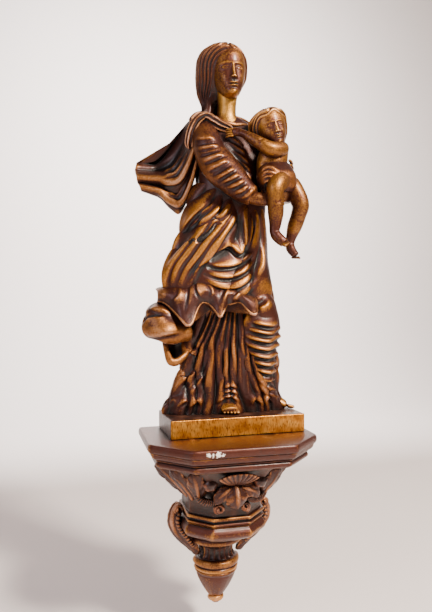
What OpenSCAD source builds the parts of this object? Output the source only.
// A standing mother and child on a low plinth, set on its own wall console.
// The figure is a stack of carved limewood blocks, dowelled and glued under a gilded finish.
// The console is built up from boards, planted mouldings, carved leaves and half-turned drops.
// Origin: centre of the keyhole in the steel hanger, on the wall plane. Front is -Y, up is +Z.

/* [Console board] */
// Height of the console's top above the keyhole
top_z = 60; // [50:1:80]
// Half width of the console's top along the wall
board_w = 129; // [120:1:140]
// How far the console's top stands out from the wall
board_d = 174; // [165:1:185]
// Length cut off each front corner, along each side
board_corner = 54; // [45:1:60]
// Thickness of the top board
board_t = 12; // [10:0.5:14]

/* [Cornice under the board] */
// Height of the planted moulding
cornice_h = 24; // [20:1:28]
// Width of the moulding from its outer edge to the under board
cornice_w = 30; // [26:1:32]

/* [Plinth of the figure] */
// Plinth width
plinth_w = 212; // [200:1:220]
// Plinth depth
plinth_d = 96; // [90:1:98]
// Plinth height
plinth_h = 28; // [24:1:32]
// Distance of the plinth's middle from the wall
plinth_y = 52; // [51:1:56]
// Turn of the plinth on the console
plinth_turn = 1.75; // [0:0.25:2]

/* [Figure on the plinth] */
// Size of the figure against its set-out
figure_k = 1.03; // [1:0.01:1.03]
// How far the figure's blocks are moved to the viewer's right
figure_x = 7; // [5:1:9]
// How far the figure's blocks are moved back towards the wall
figure_y = 27; // [24:1:27]
// How far the figure's blocks are let down, so that the plinth's top cuts them flat
figure_down = 6; // [4:1:8]

/* [Fixings] */
// Radius of the keyhole's round entry
keyhole_r = 5; // [4.5:0.5:6]
// Half width of the keyhole's slot
keyhole_slot_r = 2.5; // [2:0.5:3]
// Radius of the locating pins between console and plinth
pin_r = 4; // [3:0.5:5]
// Clearance round a pin, and under the plinth
clearance = 0.3; // [0.2:0.05:0.5]

/* [Hidden] */

$fn = 48;
bead_fn = 12;              // sides of the ellipsoids in the carved forms
peg_fn = 12;               // sides of the figure's pegs and of their holes
eps = 0.01;
big = 400;
cornice_z = -board_t - cornice_h;
bell_foot_z = -122;
collar_foot_z = -138;
urn_foot_z = -178;
screw_y = 36;
pin_x = 60;
pin_y = 60;
pin_up = 10;
dowel_r = 4;
dowel_y = 16;
plate_t = 2;
screw_r = 1.6;

// Piece colours
walnut_gold = [0.42, 0.24, 0.13];
dark_gold = [0.35, 0.20, 0.12];
bright_gold = [0.75, 0.52, 0.24];
rose_gold = [0.55, 0.33, 0.24];
flesh_gold = [0.62, 0.40, 0.22];
birch = [0.80, 0.68, 0.48];
steel = [0.62, 0.62, 0.64];

// ---------------------------------------------------------------- shared shapes

// Plan outline of the console: half an octagon with its long side on the wall.
function plan(w, d, c) = [[-w, 0], [-w, c - d], [c - w, -d], [w - c, -d], [w, c - d], [w, 0]];

// The outline inset all round its open sides, so that its facets stay parallel.
function inset_plan(w, d, c, in) = plan(w - in, d - in, c - in * (2 - sqrt(2)));

module slab(w, d, c, z0, z1) {
    translate([0, 0, z0]) linear_extrude(z1 - z0) polygon(plan(w, d, c));
}

// A block that blends from one plan to the next; each level is [z, half width, depth, corner].
module stepped_block(levels) {
    for (i = [0 : len(levels) - 2])
        hull() {
            slab(levels[i][1], levels[i][2], levels[i][3], levels[i][0] - eps, levels[i][0]);
            slab(levels[i + 1][1], levels[i + 1][2], levels[i + 1][3],
                 levels[i + 1][0], levels[i + 1][0] + eps);
        }
}

// Half of a turned piece, flat against the wall; the profile is [radius, z] from top to bottom.
module half_turned(profile) {
    rotate([0, 0, 180]) rotate_extrude(angle = 180) polygon(profile);
}

// An ellipsoid given as [x, y, z, x radius, y radius, z radius].
module bead(e) {
    translate([e[0], e[1], e[2]]) scale([e[3], e[4], e[5]]) sphere(1, $fn = bead_fn);
}

// A carved form blocked out as ellipsoids, each blended into the next.
module chain(beads) {
    for (i = [0 : len(beads) - 2])
        hull() {
            bead(beads[i]);
            bead(beads[i + 1]);
        }
}

module peg(p, turn, r, h) {
    translate(p) rotate(turn) cylinder(r = r, h = h, $fn = peg_fn);
}

// Everything on the console's top is drawn with z = 0 at the board.
module on_board() { translate([0, 0, top_z]) children(); }

// The figure's blocks share one set-out, which is sized and moved onto the plinth as a whole.
module on_plinth() {
    translate([figure_x, figure_y, -figure_down]) scale(figure_k) children();
}

// ---------------------------------------------------------------- figure: blocked-out forms

module child_head_form() chain([
    [60, -120, 458, 26, 25, 26], [62, -125, 453, 24, 23, 23]]);

module child_arm_form() chain([
    [66, -136, 430, 11, 10, 11], [40, -143, 424, 10, 9, 10], [16, -130, 438, 8, 7, 8],
    [-2, -117, 448, 10, 6, 7]]);

module child_near_leg_form() chain([
    [66, -140, 378, 15, 13, 14], [47, -154, 364, 13, 13, 13], [48, -153, 330, 11, 11, 12],
    [48, -150, 304, 8, 8, 8], [43, -158, 294, 8, 12, 6]]);

module child_far_leg_form() chain([
    [80, -124, 372, 15, 14, 15], [95, -130, 342, 13, 13, 14], [92, -124, 314, 11, 11, 12],
    [84, -120, 290, 7, 7, 8], [82, -124, 279, 5, 9, 6]]);

module child_cloth_form() chain([
    [50, -142, 384, 14, 12, 12], [66, -136, 392, 22, 18, 14], [82, -126, 384, 14, 16, 14]]);

module child_body_form() chain([
    [74, -118, 378, 22, 20, 20], [70, -121, 405, 19, 17, 18], [67, -122, 428, 21, 15, 14],
    [66, -123, 438, 9, 9, 8]]);

module right_hand_form() chain([
    [26, -140, 350, 10, 9, 9], [42, -143, 348, 11, 7, 10], [60, -142, 352, 12, 5, 8]]);

module left_hand_form() chain([
    [92, -94, 382, 9, 9, 9], [91, -106, 396, 8, 9, 11], [90, -114, 412, 5, 7, 12]]);

module right_sleeve_form() chain([
    [-38, -84, 457, 20, 22, 18], [-40, -100, 420, 22, 22, 22], [-30, -112, 376, 22, 22, 21],
    [-2, -128, 356, 21, 18, 18], [18, -137, 351, 14, 13, 13]]);

module left_sleeve_form() chain([
    [40, -76, 454, 18, 20, 18], [64, -74, 420, 19, 19, 20], [84, -78, 386, 17, 18, 19],
    [90, -90, 380, 13, 13, 13]]);

module mother_head_form() chain([
    [-4, -84, 558, 29, 32, 32], [-2, -88, 534, 24, 26, 27]]);

module neck_form() chain([
    [2, -76, 508, 17, 17, 14], [1, -76, 492, 18, 18, 14], [0, -76, 476, 22, 20, 10]]);

module veil_form() chain([
    [-9, -76, 557, 38, 38, 38], [-13, -70, 530, 34, 33, 30], [-26, -64, 500, 20, 22, 24],
    [-36, -66, 482, 14, 16, 12]]);

module shoulder_collar_form() chain([
    [-4, -108, 456, 9, 7, 7], [-26, -98, 474, 13, 12, 8], [-46, -82, 470, 12, 16, 12],
    [-60, -72, 440, 9, 13, 16], [-66, -66, 400, 9, 12, 18], [-60, -66, 360, 9, 12, 16]]);

module bodice_form() chain([
    [0, -78, 344, 48, 38, 14], [-2, -82, 380, 45, 36, 22], [0, -82, 420, 46, 36, 24],
    [0, -76, 455, 50, 30, 20], [2, -74, 468, 34, 22, 14]]);

module billow_form() {
    chain([
        [-56, -62, 462, 12, 14, 12], [-74, -56, 432, 16, 14, 20], [-102, -52, 412, 22, 14, 18],
        [-132, -50, 402, 9, 18, 22]]);
    chain([
        [-132, -50, 396, 9, 18, 20], [-104, -52, 378, 26, 15, 16], [-74, -54, 360, 22, 16, 20]]);
}

module mantle_hem_form() chain([
    [-98, -82, 196, 12, 16, 12], [-86, -102, 172, 14, 14, 12], [-58, -112, 162, 16, 12, 11],
    [-28, -112, 176, 15, 13, 12], [4, -114, 184, 16, 13, 11], [34, -110, 178, 15, 13, 11],
    [58, -98, 172, 13, 14, 10]]);

module side_folds_form() {
    for (fold = [0 : 3])
        chain([
            [34 + 4 * fold, -98, 152 - 13 * fold, 12, 12, 10],
            [58 + 2 * fold, -90, 144 - 13 * fold, 18, 17, 10],
            [66 - 2 * fold, -66, 148 - 13 * fold, 17, 24, 10]]);
}

module mantle_tail_form() chain([
    [-98, -70, 196, 16, 22, 16], [-110, -78, 168, 20, 20, 14], [-92, -84, 146, 20, 20, 16],
    [-76, -82, 120, 15, 16, 18]]);

module mantle_wrap_form() {
    chain([
        [-8, -69, 172, 86, 38, 14], [-12, -71, 215, 88, 40, 26], [-9, -71, 265, 78, 40, 28],
        [-4, -72, 310, 68, 40, 22], [0, -74, 340, 59, 38, 14]]);
    // the great diagonal folds from the hip to the knee
    chain([
        [-12, -108, 318, 14, 8, 12], [-44, -108, 268, 15, 10, 24], [-66, -98, 216, 14, 9, 16]]);
    chain([
        [-48, -96, 312, 12, 9, 14], [-76, -86, 262, 13, 12, 26], [-92, -78, 214, 9, 14, 18]]);
    chain([
        [30, -108, 300, 9, 8, 14], [14, -110, 258, 12, 8, 14], [-18, -110, 236, 16, 9, 10]]);
}

module front_foot_form() chain([
    [1, -86, 40, 17, 16, 12], [1, -98, 36, 17, 13, 8]]);

module side_foot_form() chain([
    [76, -66, 42, 16, 13, 13], [90, -68, 36, 13, 12, 8]]);

module robe_skirt_form() intersection() {
    chain([
        [-4, -60, 34, 98, 31, 14], [-4, -62, 60, 86, 33, 20], [-6, -66, 110, 72, 35, 26],
        [-6, -66, 160, 70, 35, 20]]);
    translate([-big / 2, -big / 2, plinth_h]) cube([big, big, big]);
}

// Each form is let in round all the forms that come before it in this list.
CARVED = [
    "child_head", "child_arm", "child_near_leg", "child_far_leg", "child_cloth", "child_body",
    "right_hand", "left_hand", "right_sleeve", "left_sleeve", "mother_head", "neck", "veil",
    "shoulder_collar", "bodice", "mantle_hem", "side_folds", "mantle_tail", "mantle_billow",
    "mantle_wrap", "front_foot", "side_foot", "robe_skirt"
];

module form(name) {
    if (name == "child_head") child_head_form();
    if (name == "child_arm") child_arm_form();
    if (name == "child_near_leg") child_near_leg_form();
    if (name == "child_far_leg") child_far_leg_form();
    if (name == "child_cloth") child_cloth_form();
    if (name == "child_body") child_body_form();
    if (name == "right_hand") right_hand_form();
    if (name == "left_hand") left_hand_form();
    if (name == "right_sleeve") right_sleeve_form();
    if (name == "left_sleeve") left_sleeve_form();
    if (name == "mother_head") mother_head_form();
    if (name == "neck") neck_form();
    if (name == "veil") veil_form();
    if (name == "shoulder_collar") shoulder_collar_form();
    if (name == "bodice") bodice_form();
    if (name == "mantle_hem") mantle_hem_form();
    if (name == "side_folds") side_folds_form();
    if (name == "mantle_tail") mantle_tail_form();
    if (name == "mantle_billow") billow_form();
    if (name == "mantle_wrap") mantle_wrap_form();
    if (name == "front_foot") front_foot_form();
    if (name == "side_foot") side_foot_form();
    if (name == "robe_skirt") robe_skirt_form();
}

// One carved block, cut round its neighbours and bored for the pegs.
module carved(name) {
    place = search([name], CARVED)[0];
    on_board() difference() {
        on_plinth() form(name);
        if (place > 0)
            for (i = [0 : place - 1]) on_plinth() form(CARVED[i]);
        on_plinth() pegs();
        screws(clearance / 3);
        translate([-big / 2, 0, 0]) cube([big, big, big * 2]);
        translate([-big / 2, -big / 2, -big]) cube([big, big, big + plinth_h]);
    }
}

// Pegs through the waist, the neck and the child's back, and up from skirt to mantle.
module pegs() {
    peg([0, -72, 300], [0, 0, 0], 8, 90);
    peg([1, -76, 452], [0, 0, 0], 6, 90);
    peg([-10, -60, 110], [0, 0, 0], 8, 90);
    peg([74, -70, 396], [72, 0, 0], 4, 44);
}

// Two long screws up through the plinth into the skirt.
module screws(extra) {
    for (x = [-45, 45]) translate([x, -screw_y, 4]) {
        cylinder(r = 2.5 + extra, h = 60, $fn = peg_fn);
        cylinder(r = 5 + extra, h = 4, $fn = peg_fn);
    }
}

// ---------------------------------------------------------------- figure: nodes

module plinth() color(bright_gold) on_board() difference() {
    translate([11, -plinth_y, clearance]) rotate([0, 0, plinth_turn])
        translate([-plinth_w / 2, -plinth_d / 2, 0]) cube([plinth_w, plinth_d, plinth_h - clearance]);
    for (side = [-1, 1])
        translate([side * pin_x, -pin_y, 0]) cylinder(r = pin_r + clearance, h = pin_up + 2);
    for (x = [-45, 45]) translate([x, -screw_y, -1]) {
        cylinder(r = 2.6, h = plinth_h + 2);
        cylinder(r = 6, h = 10);
    }
}

module robe_skirt() color(walnut_gold) carved("robe_skirt");
module front_foot() color(flesh_gold) carved("front_foot");
module side_foot() color(flesh_gold) carved("side_foot");
module mantle_wrap() color(bright_gold) carved("mantle_wrap");
module mantle_hem() color(rose_gold) carved("mantle_hem");
module side_folds() color(walnut_gold) carved("side_folds");
module mantle_tail() color(dark_gold) carved("mantle_tail");
module mantle_billow() color(dark_gold) carved("mantle_billow");
module shoulder_collar() color(rose_gold) carved("shoulder_collar");
module bodice() color(walnut_gold) carved("bodice");
module right_sleeve() color(rose_gold) carved("right_sleeve");
module right_hand() color(flesh_gold) carved("right_hand");
module left_sleeve() color(dark_gold) carved("left_sleeve");
module left_hand() color(flesh_gold) carved("left_hand");
module neck() color(flesh_gold) carved("neck");
module mother_head() color(flesh_gold) carved("mother_head");
module veil() color(dark_gold) carved("veil");
module child_body() color(flesh_gold) carved("child_body");
module child_head() color(flesh_gold) carved("child_head");
module child_arm() color(flesh_gold) carved("child_arm");
module child_cloth() color(rose_gold) carved("child_cloth");
module child_near_leg() color(flesh_gold) carved("child_near_leg");
module child_far_leg() color(flesh_gold) carved("child_far_leg");
module figure_dowels() color(birch) on_board() on_plinth() pegs();
module plinth_screws() color(steel) on_board() screws(0);

// ---------------------------------------------------------------- console: boards and cornice

module console_dowel_holes() {
    translate([0, -dowel_y, -262]) cylinder(r = dowel_r, h = 262 - board_t - 14);
}

module pin_holes() {
    for (side = [-1, 1]) translate([side * pin_x, -pin_y, -board_t - eps])
        cylinder(r = pin_r, h = board_t + 2 * eps);
}

module top_board() color(dark_gold) on_board() difference() {
    slab(board_w, board_d, board_corner, -board_t, 0);
    pin_holes();
}

// Moulding profile as [distance in from the board's edge, z]: fillet, cove, fillet, bead.
cove_r = 10;
bead_r = 4.5;
function cornice_profile() = concat(
    [[cornice_w, -board_t], [4, -board_t], [4, -board_t - 2]],
    [for (a = [90 : -15 : 15]) [4 + cove_r * (1 - sin(a)), -board_t - 2 - cove_r * (1 - cos(a)) * 0.9]],
    [[14, -board_t - 12], [12.5, -board_t - 13]],
    [for (a = [75 : -25 : -75]) [17 - bead_r * cos(a), -board_t - 18 + bead_r * sin(a)]],
    [[17, cornice_z], [cornice_w, cornice_z]]);

// One mitred run of the moulding under side i of the board's outline.
module cornice_run(i) {
    outer = plan(board_w, board_d, board_corner);
    inner = inset_plan(board_w, board_d, board_corner, cornice_w);
    a = outer[i];
    b = outer[i + 1];
    along = b - a;
    on_board() intersection() {
        translate([a[0], a[1], 0]) rotate([0, 0, atan2(along[1], along[0])])
            rotate([90, 0, 90]) translate([0, 0, -big / 4])
                linear_extrude(norm(along) + big / 2) polygon(cornice_profile());
        translate([0, 0, cornice_z - 1]) linear_extrude(cornice_h + 1)
            polygon([a, b, inner[i + 1], inner[i]]);
    }
}

module cornice_left_return() color(walnut_gold) cornice_run(0);
module cornice_left_corner() color(walnut_gold) cornice_run(1);
module cornice_front() color(bright_gold) cornice_run(2);
module cornice_right_corner() color(walnut_gold) cornice_run(3);
module cornice_right_return() color(walnut_gold) cornice_run(4);

module under_board() color(dark_gold) on_board() difference() {
    inner = inset_plan(board_w, board_d, board_corner, cornice_w);
    translate([0, 0, cornice_z]) linear_extrude(cornice_h) polygon(inner);
    console_dowel_holes();
}

// ---------------------------------------------------------------- console: bell, urn and drop

module bell_block() stepped_block([
    [cornice_z, 94, 140, 42], [-54, 82, 126, 38], [-80, 66, 108, 34], [-106, 58, 96, 31],
    [bell_foot_z, 58, 95, 31]]);

module hanger_recess() {
    translate([-18, -plate_t, 0]) cube([36, plate_t + eps, 46]);
    translate([-8, -14, 14]) cube([16, 14, 24]);
}

module keyhole_place() { translate([0, 0, -22]) children(); }

module bell_core() color(walnut_gold) difference() {
    on_board() bell_block();
    on_board() console_dowel_holes();
    keyhole_place() hanger_recess();
    keyhole_place() screw_shanks();
}

module screw_shanks() {
    for (z = [6, 41]) for (x = [-13, 13])
        translate([x, eps, z]) rotate([90, 0, 0]) cylinder(r = screw_r, h = 14);
}

module hanger_plate() color(steel) difference() {
    keyhole_place() translate([-18, -plate_t, 0]) cube([36, plate_t, 46]);
    translate([0, 1, 0]) rotate([90, 0, 0]) cylinder(r = keyhole_r, h = plate_t + 2);
    translate([-keyhole_slot_r, -plate_t - 1, 0]) cube([2 * keyhole_slot_r, plate_t + 2, 11]);
    translate([0, 1, 11]) rotate([90, 0, 0]) cylinder(r = keyhole_slot_r, h = plate_t + 2);
    keyhole_place() screw_shanks();
}

module hanger_screws() color(steel) keyhole_place() intersection() {
    screw_shanks();
    translate([-big / 2, -big, -big / 2]) cube([big, big, big]);
}

module collar_moulding() color(bright_gold) on_board() difference() {
    union() {
        slab(62, 100, 33, bell_foot_z - 5, bell_foot_z);
        slab(57, 95, 31, bell_foot_z - 9, bell_foot_z - 5);
        slab(62, 100, 33, collar_foot_z, bell_foot_z - 9);
    }
    console_dowel_holes();
}

module urn_block() {
    stepped_block([[collar_foot_z, 59, 96, 31], [-148, 65, 101, 34], [-160, 62, 92, 33]]);
    hull() {
        slab(62, 92, 33, -160 - eps, -160);
        rotate([0, 0, 180]) translate([0, 0, urn_foot_z])
            rotate_extrude(angle = 180, $fn = 32) square([45, eps]);
    }
}

module urn() color(walnut_gold) on_board() difference() {
    urn_block();
    console_dowel_holes();
}

// A half-round bead profile between two heights: the radius at its ends and how far it bulges.
function half_round(r, z0, z1, bulge) = [for (a = [0 : 15 : 180])
    [r + bulge * sin(a), z0 + (z1 - z0) * (1 - cos(a)) / 2]];

module urn_lip() color(bright_gold) on_board() difference() {
    half_turned(concat([[0, urn_foot_z]], half_round(40, urn_foot_z, -190, 6),
        [[27, -190], [27, -196], [0, -196]]));
    console_dowel_holes();
}

module fluted_neck() color(bright_gold) on_board() difference() {
    half_turned([[0, -196], [30, -196], [28.5, -202], [29, -208], [32, -216], [0, -216]]);
    for (a = [200 : 20 : 340]) rotate([0, 0, a]) translate([33.5, 0, -213])
        cylinder(r = 4.5, h = 14);
    console_dowel_holes();
}

module drop_ring() color(walnut_gold) on_board() difference() {
    half_turned(concat([[0, -216]], half_round(34, -216, -230, 5.5), [[36, -230], [36, -236],
        [0, -236]]));
    console_dowel_holes();
}

module drop_cone() color(walnut_gold) on_board() difference() {
    half_turned([[0, -236], [36, -236], [36, -240], [33, -244], [28, -256], [21, -270], [13, -282],
        [0, -282]]);
    console_dowel_holes();
}

module drop_tip() color(rose_gold) on_board()
    half_turned(concat([[0, -282]], half_round(9, -282, -292, 5), [[4, -298], [0, -298]]));

module console_dowels() color(birch) on_board() intersection() {
    console_dowel_holes();
    translate([0, 0, -262]) cylinder(r = big, h = 262);
}

module locating_pins() color(steel) on_board()
    for (side = [-1, 1]) translate([side * pin_x, -pin_y, -board_t])
        cylinder(r = pin_r, h = board_t + pin_up);

// ---------------------------------------------------------------- console: carved ornament

// A leaf that curls out from the bell: a rib with lobes beside it, drawn for the left side.
module leaf_form() {
    foot = [-54, -70, -94, 12, 16, 12];
    chain([foot, [-72, -50, -76, 12, 15, 12], [-92, -40, -58, 12, 15, 9],
        [-99, -36, -46, 9, 11, 8]]);
    chain([foot, [-66, -80, -70, 13, 12, 12], [-82, -84, -52, 10, 12, 9],
        [-90, -82, -44, 7, 8, 6]]);
    chain([foot, [-56, -104, -66, 11, 10, 10], [-60, -116, -48, 8, 8, 7]]);
}

module ball_form() chain([
    [-38, -112, -62, 11, 11, 11], [-37, -113, -66, 11, 11, 11]]);

module fan_form() chain([
    [0, -118, -58, 28, 12, 10], [0, -130, -46, 30, 14, 8]]);

module front_leaf_form() chain([
    [0, -112, -74, 20, 10, 8], [0, -114, -86, 12, 9, 8], [0, -110, -98, 6, 7, 6]]);

module swag_form() chain([
    [-54, -92, -86, 8, 8, 7], [-40, -102, -92, 9, 8, 7], [-24, -107, -88, 9, 8, 7],
    [-18, -106, -102, 7, 7, 6]]);

module wing_form() {
    chain([[-62, -14, -128, 8, 12, 8], [-70, -14, -144, 9, 14, 9], [-68, -12, -162, 9, 12, 9],
        [-56, -10, -180, 9, 10, 9], [-42, -8, -196, 8, 8, 8]]);
    chain([[-66, -26, -150, 6, 6, 6], [-58, -22, -170, 6, 6, 6], [-50, -16, -184, 5, 5, 5]]);
}

// An ornament let onto the console's core and cut flat at the wall; the first child is the
// ornament, and those after it are the neighbours that it is cut round.
module planted(side) {
    on_board() difference() {
        if (side > 0) mirror([1, 0, 0]) children(0);
        else children(0);
        bell_block();
        urn_block();
        for (i = [1 : $children - 1])
            if (side > 0) mirror([1, 0, 0]) children(i);
            else children(i);
        slab(63, 101, 34, collar_foot_z, bell_foot_z);
        half_turned([[0, urn_foot_z], [47, urn_foot_z], [47, -216], [0, -216]]);
        translate([-big / 2, 0, -big]) cube([big, big, big * 2]);
        translate([-big / 2, -big / 2, cornice_z]) cube([big, big, big]);
    }
}

module acanthus_left() color(walnut_gold) planted(-1) { leaf_form(); ball_form(); swag_form(); }
module acanthus_right() color(walnut_gold) planted(1) { leaf_form(); ball_form(); swag_form(); }
module shell_fan() color(rose_gold) planted(-1) { fan_form(); ball_form(); }
module front_leaf() color(walnut_gold) planted(-1) { front_leaf_form(); fan_form(); ball_form(); }
module ball_flower_left() color(dark_gold) planted(-1) { ball_form(); }
module ball_flower_right() color(dark_gold) planted(1) { ball_form(); }
module swag_left() color(dark_gold) planted(-1) { swag_form(); ball_form(); front_leaf_form(); }
module swag_right() color(dark_gold) planted(1) { swag_form(); ball_form(); front_leaf_form(); }
module scroll_wing_left() color(rose_gold) planted(-1) { wing_form(); leaf_form(); }
module scroll_wing_right() color(rose_gold) planted(1) { wing_form(); leaf_form(); }

plinth();
robe_skirt();
front_foot();
side_foot();
mantle_wrap();
mantle_hem();
side_folds();
mantle_tail();
mantle_billow();
shoulder_collar();
bodice();
right_sleeve();
right_hand();
left_sleeve();
left_hand();
neck();
mother_head();
veil();
child_body();
child_head();
child_arm();
child_cloth();
child_near_leg();
child_far_leg();
figure_dowels();
plinth_screws();
top_board();
cornice_left_return();
cornice_left_corner();
cornice_front();
cornice_right_corner();
cornice_right_return();
under_board();
bell_core();
acanthus_left();
acanthus_right();
shell_fan();
front_leaf();
ball_flower_left();
ball_flower_right();
swag_left();
swag_right();
collar_moulding();
urn();
scroll_wing_left();
scroll_wing_right();
urn_lip();
fluted_neck();
drop_ring();
drop_cone();
drop_tip();
console_dowels();
locating_pins();
hanger_plate();
hanger_screws();
